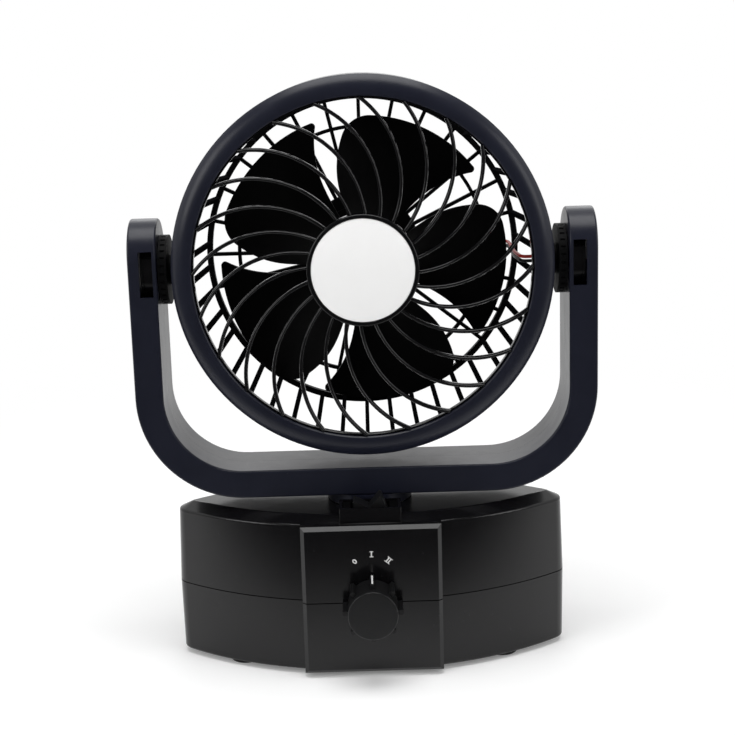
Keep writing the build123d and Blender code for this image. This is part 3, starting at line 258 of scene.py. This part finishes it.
def mouldedPlastic(name):
    look, wear = plasticFinishes[name], plasticWear
    finish = newFinish(name)
    patches = finish.noise(look["patch"], detail=4.0, roughness=0.6, warp=0.4)
    colour = finish.blend(finish.spread(patches, *wear["patchReach"]), look["colour"], look["paler"])
    specks = finish.specks(look["dustSize"], look["dustShare"])
    thin = finish.spread(finish.noise(look["patch"] * wear["dustPatch"]), *wear["dustReach"])
    colour = finish.blend(specks * thin * wear["dustCover"], colour, look["dust"])
    smears = finish.noise(look["smear"], detail=5.0, roughness=0.65, warp=1.2, stretch=wear["smearStretch"])
    low, high = look["roughness"]
    margin = wear["smearMargin"] * (high - low)
    roughness = finish.spread(smears, low - margin, high + margin)
    ripple = finish.bump(finish.noise(look["ripple"], detail=1.0), look["rippleDepth"])
    grain = finish.noise(look["grain"], roughness=0.6)
    normal = finish.bump(grain + specks * wear["dustRelief"], look["grainDepth"], ripple)
    finish.shade(**{
        "Base Color": colour, "Roughness": roughness, "Normal": normal,
        "Specular IOR Level": look["gloss"],
        "Coat Weight": look["coat"], "Coat Roughness": look["coatRoughness"],
    })
    return finish.holder


# metals and the printed sleeve of the cells
metalFinishes = {
    "screwSteel": {
        "colour": rgb(0.46, 0.46, 0.47), "darker": rgb(0.30, 0.30, 0.31), "patch": 0.004,
        "roughness": (0.24, 0.42), "streak": 0.0006, "streakDepth": 0.000004, "metallic": 1.0,
    },
    "blackenedSteel": {
        "colour": rgb(0.045, 0.045, 0.048), "darker": rgb(0.020, 0.020, 0.022), "patch": 0.003,
        "roughness": (0.30, 0.46), "streak": 0.0005, "streakDepth": 0.000004, "metallic": 1.0,
    },
    "contactNickel": {
        "colour": rgb(0.60, 0.57, 0.50), "darker": rgb(0.42, 0.39, 0.33), "patch": 0.005,
        "roughness": (0.20, 0.34), "streak": 0.0005, "streakDepth": 0.000003, "metallic": 1.0,
    },
    "cellSleeve": {
        "colour": rgb(0.060, 0.060, 0.066), "darker": rgb(0.035, 0.035, 0.040), "patch": 0.012,
        "roughness": (0.26, 0.34), "streak": 0.0010, "streakDepth": 0.000003, "metallic": 0.4,
    },
}


# what all metals share: how far the patches reach, and what streaks and patches add to the roughness
metalWear = {
    "patchReach": (-0.5, 1.5), "streakStretch": (1.0, 0.12, 1.0), "streakShare": 0.6, "patchShare": 0.4,
}


def wornMetal(name):
    look, wear = metalFinishes[name], metalWear
    finish = newFinish(name)
    patches = finish.noise(look["patch"], detail=5.0, roughness=0.6, warp=0.6)
    colour = finish.blend(finish.spread(patches, *wear["patchReach"]), look["darker"], look["colour"])
    streaks = finish.noise(look["streak"], detail=3.0, stretch=wear["streakStretch"])
    unevenness = streaks * wear["streakShare"] + patches * wear["patchShare"]
    finish.shade(**{
        "Base Color": colour, "Roughness": finish.spread(unevenness, *look["roughness"]),
        "Normal": finish.bump(streaks, look["streakDepth"]), "Metallic": look["metallic"],
    })
    return finish.holder


finishes = {name: mouldedPlastic(name) for name in plasticFinishes}
finishes.update({name: wornMetal(name) for name in metalFinishes})
print("finishes:", len(finishes))

nodeFinish = {
    "satinNavy": ["front_ring", "yoke_front_shell", "yoke_rear_shell", "swivel_post"],
    "glossBlack": ["base_upper_shell", "base_lower_shell", "motor_cover", "battery_door_left",
                   "battery_door_right", "tilt_drum_right", "tilt_drum_left"],
    "spokeBlack": ["front_grille"],
    "ribBlack": ["guard_side_ribs"],
    "guardBlack": ["guard_rim", "rear_grille", "trunnion_right", "trunnion_left"],
    "matteBlack": ["impeller", "motor_mount", "rocker_switch_body", "rotary_switch_body", "motor_end_cap",
                   "dc_jack", "pivot_nuts"],
    "knobBlack": ["speed_knob", "rocker_paddle"],
    "glossWhite": ["hub_cap"],
    "printedInk": ["knob_pointer"],
    "naturalNylon": ["slip_ring", "swivel_retainer"],
    "footRubber": ["rubber_feet"],
    "screwSteel": ["retainer_screws", "motor_can", "motor_shaft", "motor_rotor",
                   "rotary_switch_shaft", "dc_jack_nut"],
    "blackenedSteel": ["yoke_screws", "base_screws", "guard_screws", "mount_screws"],
    "contactNickel": ["battery_contacts", "door_contacts_left", "door_contacts_right"],
    "cellSleeve": ["battery_cells"],
    "redInsulation": ["motor_lead_red", "yoke_lead_red", "base_lead_red"],
    "blackInsulation": ["motor_lead_black", "yoke_lead_black", "base_lead_black"],
}


def dressNodes():
    for finishName, members in nodeFinish.items():
        for name in members:
            mesh = nodes[name].data
            if not mesh.materials:
                mesh.materials.append(None)
            for k in range(len(mesh.materials)):
                mesh.materials[k] = finishes[finishName]


dressNodes()
print("nodes dressed")


def newPiece(name, mesh, body, finishName, smooth=False):
    piece = bpy.data.objects.new(name, mesh)
    bpy.context.scene.collection.objects.link(piece)
    mesh.materials.append(finishes[finishName])
    for face in mesh.polygons:
        face.use_smooth = smooth
    if smooth:
        mesh.set_sharp_from_angle(angle=math.radians(creaseDegrees))
    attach(piece, body)
    return piece


def joinLoops(build, first, second):
    for k in range(len(first)):
        n = (k + 1) % len(first)
        build.faces.new((first[k], first[n], second[n], second[k]))


def meshFrom(name, build):
    bmesh.ops.recalc_face_normals(build, faces=build.faces)
    mesh = bpy.data.meshes.new(name)
    build.to_mesh(mesh)
    build.free()
    return mesh


def slabFromOutline(name, outlines, yFront, yBack):
    # closed prisms along Y from flat outlines in X and Z, each an outer loop and an optional hole
    build = bmesh.new()
    for outer, hole in outlines:
        loops = [outer] + ([hole] if hole else [])
        rings = []
        for loop in loops:
            front = [build.verts.new((x, yFront, z)) for x, z in loop]
            back = [build.verts.new((x, yBack, z)) for x, z in loop]
            rings.append((front, back))
            joinLoops(build, front, back)
        if hole:
            for side in (0, 1):
                joinLoops(build, rings[0][side], rings[1][side])
        else:
            build.faces.new(rings[0][0])
            build.faces.new(rings[0][1])
    return meshFrom(name, build)


# front grille: lengths in millimetres about the tilt axis
grille = {
    "pivotHeight": 215.3,
    "spokes": 24, "firstSpoke": 11.25, "sweep": 33.5, "midTurn": 13.83,
    "rootRadius": 28.2, "midRadius": 59.15, "tipRadius": 88.5,
    "spokeBack": -21.5, "spokeFront": -25.1, "spokeHalf": 1.0, "spokeSteps": 30,
    "noseDepth": 1.5, "noseSteps": 8, "footShare": 0.9, "footDepth": 0.3, "rimSteps": 180, "hubSteps": 120,
    "rimProfile": [(88.0, -19.2), (96.9, -19.2), (96.9, -20.9), (88.9, -20.9), (88.9, -22.5), (88.65, -22.8),
                   (88.25, -22.8), (88.0, -22.55)],
    "hubProfile": [(0.0, -25.5), (27.1, -25.5), (27.1, -26.6), (27.3, -27.0), (27.8, -27.2), (28.5, -27.2),
                   (29.0, -27.0), (29.3, -26.5), (29.3, -21.5), (27.1, -21.5), (27.1, -23.5), (0.0, -23.5)],
}


def headMesh(name, build):
    # from millimetres about the tilt axis to the frame's own metres
    lift = Matrix.Translation((0.0, 0.0, grille["pivotHeight"] * millimetre))
    build.transform(lift @ Matrix.Scale(millimetre, 4))
    bmesh.ops.remove_doubles(build, verts=build.verts, dist=mergeDistance)
    return meshFrom(name, build)


def addLoops(build, loops, closed):
    # faces between neighbouring loops of corners; capped at both ends unless the loops close on themselves
    rings = [[build.verts.new(corner) for corner in loop] for loop in loops]
    pairs = list(zip(rings, rings[1:] + rings[:1])) if closed else list(zip(rings, rings[1:]))
    for first, second in pairs:
        joinLoops(build, first, second)
    if not closed:
        build.faces.new(rings[0])
        build.faces.new(rings[-1])


def addTurned(build, profile, steps):
    loops = []
    for k in range(steps):
        c, s = math.cos(2 * math.pi * k / steps), math.sin(2 * math.pi * k / steps)
        loops.append([(radius * c, y, radius * s) for radius, y in profile])
    addLoops(build, loops, True)


def polar(radius, degrees):
    return Vector((radius * math.cos(math.radians(degrees)), radius * math.sin(math.radians(degrees))))


def arcPoints(first, middle, last, steps):
    # points along the circle through three points
    a, b = middle - first, last - first
    across = 2 * (a.x * b.y - a.y * b.x)
    centre = first + Vector((
        (b.y * a.length_squared - a.y * b.length_squared) / across,
        (a.x * b.length_squared - b.x * a.length_squared) / across,
    ))
    start = math.atan2(first.y - centre.y, first.x - centre.x)
    turn = (math.atan2(last.y - centre.y, last.x - centre.x) - start + math.pi) % (2 * math.pi) - math.pi
    radius = (first - centre).length
    places = []
    for k in range(steps + 1):
        angle = start + turn * k / steps
        outward = Vector((math.cos(angle), math.sin(angle)))
        places.append((centre + outward * radius, outward))
    return places


def addSpoke(build, start):
    look = grille
    middle = polar(look["midRadius"], start + look["midTurn"])
    root, tip = polar(look["rootRadius"], start), polar(look["tipRadius"], start + look["sweep"])
    path = arcPoints(root, middle, tip, look["spokeSteps"])
    half, back, front = look["spokeHalf"], look["spokeBack"], look["spokeFront"]
    nose, foot, step = look["noseDepth"], half * look["footShare"], back - look["footDepth"]
    section = [(-foot, back), (-half, step), (-half, front + nose)]
    for k in range(1, look["noseSteps"]):
        angle = math.pi * k / look["noseSteps"]
        section.append((-half * math.cos(angle), front + nose - nose * math.sin(angle)))
    section += [(half, front + nose), (half, step), (foot, back)]
    loops = [[(p.x + o.x * side, y, p.y + o.y * side) for side, y in section] for p, o in path]
    addLoops(build, loops, False)


def addFrontGrille():
    build = bmesh.new()
    addTurned(build, grille["rimProfile"], grille["rimSteps"])
    addTurned(build, grille["hubProfile"], grille["hubSteps"])
    for k in range(grille["spokes"]):
        addSpoke(build, grille["firstSpoke"] + 360.0 * k / grille["spokes"])
    mesh = headMesh("spiral_grille", build)
    piece = newPiece("spiral_grille", mesh, "head", "spokeBlack", smooth=True)
    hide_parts("front_grille")


addFrontGrille()
print("front grille made:", grille["spokes"], "spokes")


# hub cap: a shallow dome with a rounded edge
cap = {
    "radius": 27.0, "seat": -25.4, "edge": -27.0, "dome": 1.95, "edgeRound": 0.5,
    "edgeSteps": 3, "domeSteps": 24, "turnSteps": 144,
}


def addHubCap():
    radius, seat, edge, bend = cap["radius"], cap["seat"], cap["edge"], cap["edgeRound"]
    profile = [(0.0, seat), (radius, seat), (radius, edge + bend)]
    inner = radius - bend
    for k in range(1, cap["edgeSteps"] + 1):
        angle = math.pi / 2 * k / cap["edgeSteps"]
        profile.append((inner + bend * math.cos(angle), edge + bend * (1 - math.sin(angle))))
    for k in range(1, cap["domeSteps"] + 1):
        reach = inner * (1 - k / cap["domeSteps"])
        profile.append((reach, edge - cap["dome"] * (1 - (reach / inner) ** 2)))
    build = bmesh.new()
    addTurned(build, profile, cap["turnSteps"])
    mesh = headMesh("domed_cap", build)
    piece = newPiece("domed_cap", mesh, "head", "glossWhite", smooth=True)
    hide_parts("hub_cap")


addHubCap()
print("hub cap made")


# dial marks on the front panel, in millimetres: place of each mark's middle and its lean
dial = {
    "panelFace": 47.5, "inkThickness": 0.06, "sunk": 0.05, "glyphHeight": 3.2, "stroke": 0.62,
    "ovalWidth": 0.66, "ovalHeight": 0.86, "ovalSteps": 28, "flatStroke": 0.7,
    "stems": {"low": [0.0], "high": [-0.62, 0.62]}, "serifs": {"low": 0.95, "high": 1.55},
    "places": {"off": (-8.9, 64.9, 40.0), "low": (0.0, 68.6, 0.0), "high": (8.9, 65.0, -40.0)},
}


def turnedLoop(loop, centre, degrees):
    c, s = math.cos(math.radians(degrees)), math.sin(math.radians(degrees))
    turned = [(centre[0] + x * c - z * s, centre[1] + x * s + z * c) for x, z in loop]
    return [(x * millimetre, z * millimetre) for x, z in turned]


def barLoop(x0, x1, z0, z1):
    return [(x0, z0), (x1, z0), (x1, z1), (x0, z1)]


def dialMark(kind):
    half, stroke = dial["glyphHeight"] / 2, dial["stroke"]
    if kind == "off":
        steps = [2 * math.pi * k / dial["ovalSteps"] for k in range(dial["ovalSteps"])]
        wide, tall = dial["ovalWidth"] * half, half * dial["ovalHeight"]
        outer = [(wide * math.cos(a), tall * math.sin(a)) for a in steps]
        inner = [((wide - stroke) * math.cos(a), (tall - stroke) * math.sin(a)) for a in steps]
        return [(outer, inner)]
    serif, flat = dial["serifs"][kind], stroke * dial["flatStroke"]
    bars = [barLoop(x - stroke / 2, x + stroke / 2, -half + flat, half - flat) for x in dial["stems"][kind]]
    bars += [barLoop(-serif, serif, -half, -half + flat), barLoop(-serif, serif, half - flat, half)]
    return [(bar, None) for bar in bars]


def addDialMarks():
    yFront = -(dial["panelFace"] + dial["inkThickness"]) * millimetre
    yBack = -(dial["panelFace"] - dial["sunk"]) * millimetre
    for kind, (x, z, lean) in dial["places"].items():
        loops = []
        for outer, hole in dialMark(kind):
            loops.append((turnedLoop(outer, (x, z), lean), turnedLoop(hole, (x, z), lean) if hole else None))
        mesh = slabFromOutline("dial_mark_" + kind, loops, yFront, yBack)
        newPiece("dial_mark_" + kind, mesh, "base", "printedInk")


addDialMarks()
print("dial marks placed")


studio = {
    "cameraPlace": (0.00085, -0.7951, 0.3272), "pitchDown": 12.0, "roll": 1.7,
    "focalPixels": 1500.0, "imageHeight": 736.0, "sensor": 36.0, "nearest": 0.01,
    "floorSize": 12.0, "floorColour": rgb(0.90, 0.90, 0.90), "floorLift": 0.16,
    "fadeNear": 0.30, "fadeFar": 0.80,
    "worldLevel": 0.42, "backdropLevel": 1.0,
}


def addCamera():
    data = bpy.data.cameras.new("camera")
    data.sensor_width = studio["sensor"]
    data.lens = studio["focalPixels"] * studio["sensor"] / studio["imageHeight"]
    data.clip_start = studio["nearest"]
    camera = bpy.data.objects.new("camera", data)
    bpy.context.scene.collection.objects.link(camera)
    pitch, roll = math.radians(studio["pitchDown"]), math.radians(studio["roll"])
    ahead = Vector((0.0, math.cos(pitch), -math.sin(pitch)))
    right = Vector((1.0, 0.0, 0.0))
    up = right.cross(ahead)
    leanRight = right * math.cos(roll) - up * math.sin(roll)
    leanUp = right * math.sin(roll) + up * math.cos(roll)
    turn = Matrix((leanRight, leanUp, -ahead)).transposed()
    camera.matrix_world = Matrix.Translation(studio["cameraPlace"]) @ turn.to_4x4()
    bpy.context.scene.camera = camera


def seenRays(finish):
    # 1 for rays that come from the camera, a gloss or a clear piece, and 0 for light that falls on the fan
    kinds = ("Is Camera Ray", "Is Glossy Ray", "Is Transmission Ray")
    first, second, third = [finish.node("ShaderNodeLightPath", output=kind) for kind in kinds]
    return first + second + third


def flatCard(name, corner, across, rise, holder):
    c, a, r = Vector(corner), Vector(across), Vector(rise)
    mesh = bpy.data.meshes.new(name)
    mesh.from_pydata([c, c + a, c + a + r, c + r], [], [(0, 1, 2, 3)])
    mesh.materials.append(holder)
    card = bpy.data.objects.new(name, mesh)
    bpy.context.scene.collection.objects.link(card)
    return card


def addFloor():
    # lit floor with the fan's shadow nearby, plain white further off
    finish = newFinish("paleFloor")
    lit = finish.node("ShaderNodeBsdfDiffuse", {}, {"Color": studio["floorColour"], "Roughness": 0.0})
    near = finish.node("ShaderNodeAddShader", {}, {0: lit, 1: finish.glow(studio["floorLift"])})
    reach = finish.node("ShaderNodeVectorMath", {"operation": "LENGTH"}, {0: finish.place()}, output="Value")
    seen = finish.mixed(finish.fade(reach, studio["fadeNear"], studio["fadeFar"]), near, finish.glow(1.0))
    finish.close(finish.mixed(seenRays(finish), lit, seen))
    size = studio["floorSize"]
    flatCard("floor", (-size / 2, -size / 2, 0), (size, 0, 0), (0, size, 0), finish.holder)


def addWorld():
    world = bpy.data.worlds.new("softWorld")
    bpy.context.scene.world = world
    sky = Finish(world, "ShaderNodeOutputWorld")
    colour = rgb(1, 1, 1)
    dim = sky.node("ShaderNodeBackground", {}, {"Color": colour, "Strength": studio["worldLevel"]})
    white = sky.node("ShaderNodeBackground", {}, {"Color": colour, "Strength": studio["backdropLevel"]})
    sky.close(sky.mixed(seenRays(sky), dim, white))


softboxes = {
    "overheadBox": {"place": (0.0, -0.15, 1.25), "target": (0.0, 0.0, 0.15), "size": (0.9, 0.7), "watts": 9.0},
    "leftBox": {"place": (-1.15, -0.75, 0.75), "target": (0.0, 0.0, 0.18), "size": (0.55, 0.8), "watts": 5.0},
    "rightBox": {"place": (1.15, -0.65, 0.65), "target": (0.0, 0.0, 0.18), "size": (0.45, 0.8), "watts": 3.5},
    "backBox": {"place": (0.0, 1.2, 0.9), "target": (0.0, 0.0, 0.2), "size": (1.2, 0.5), "watts": 3.0},
}


def addSoftboxes():
    for name, box in softboxes.items():
        data = bpy.data.lights.new(name, "AREA")
        data.shape = "RECTANGLE"
        data.size, data.size_y = box["size"]
        data.energy = box["watts"]
        lamp = bpy.data.objects.new(name, data)
        bpy.context.scene.collection.objects.link(lamp)
        lamp.location = box["place"]
        aim = Vector(box["target"]) - Vector(box["place"])
        lamp.rotation_euler = aim.to_track_quat("-Z", "Y").to_euler()


# dark cards that only reflections see; each starts softly along one axis, between the two places of fade
darkCards = {
    "floorCard": {"corner": (-1.5, -0.04, 0.0015), "across": (3.0, 0, 0), "rise": (0, -2.4, 0),
                  "level": 0.05, "axis": "Y", "fade": (-0.04, -0.28)},
    "frontCard": {"corner": (-1.5, -1.9, 0.0), "across": (3.0, 0, 0), "rise": (0, 0, 1.7),
                  "level": 0.07, "axis": "Z", "fade": (-1.0, -0.5)},
    "leftCard": {"corner": (-1.5, -1.9, 0.0), "across": (0, 1.8, 0), "rise": (0, 0, 1.7),
                 "level": 0.08, "axis": "Y", "fade": (-0.15, -0.75)},
    "rightCard": {"corner": (1.5, -1.9, 0.0), "across": (0, 1.8, 0), "rise": (0, 0, 1.7),
                  "level": 0.08, "axis": "Y", "fade": (-0.15, -0.75)},
    "topCard": {"corner": (-1.5, -1.9, 1.7), "across": (3.0, 0, 0), "rise": (0, 2.4, 0),
                "level": 0.08, "axis": "Y", "fade": (0.45, 0.0)},
}


def addCards():
    for name, look in darkCards.items():
        finish = newFinish(name)
        apart = finish.node("ShaderNodeSeparateXYZ", {}, {0: finish.place()}, output=look["axis"])
        clear = finish.node("ShaderNodeBsdfTransparent")
        finish.close(finish.mixed(finish.fade(apart, *look["fade"]), clear, finish.glow(look["level"])))
        card = flatCard(name, look["corner"], look["across"], look["rise"], finish.holder)
        for rays in ("camera", "diffuse", "transmission", "volume_scatter", "shadow"):
            setattr(card, "visible_" + rays, False)


addCamera()
addFloor()
addWorld()
addSoftboxes()
addCards()
bpy.context.scene.view_settings.view_transform = "Standard"
print("studio ready")
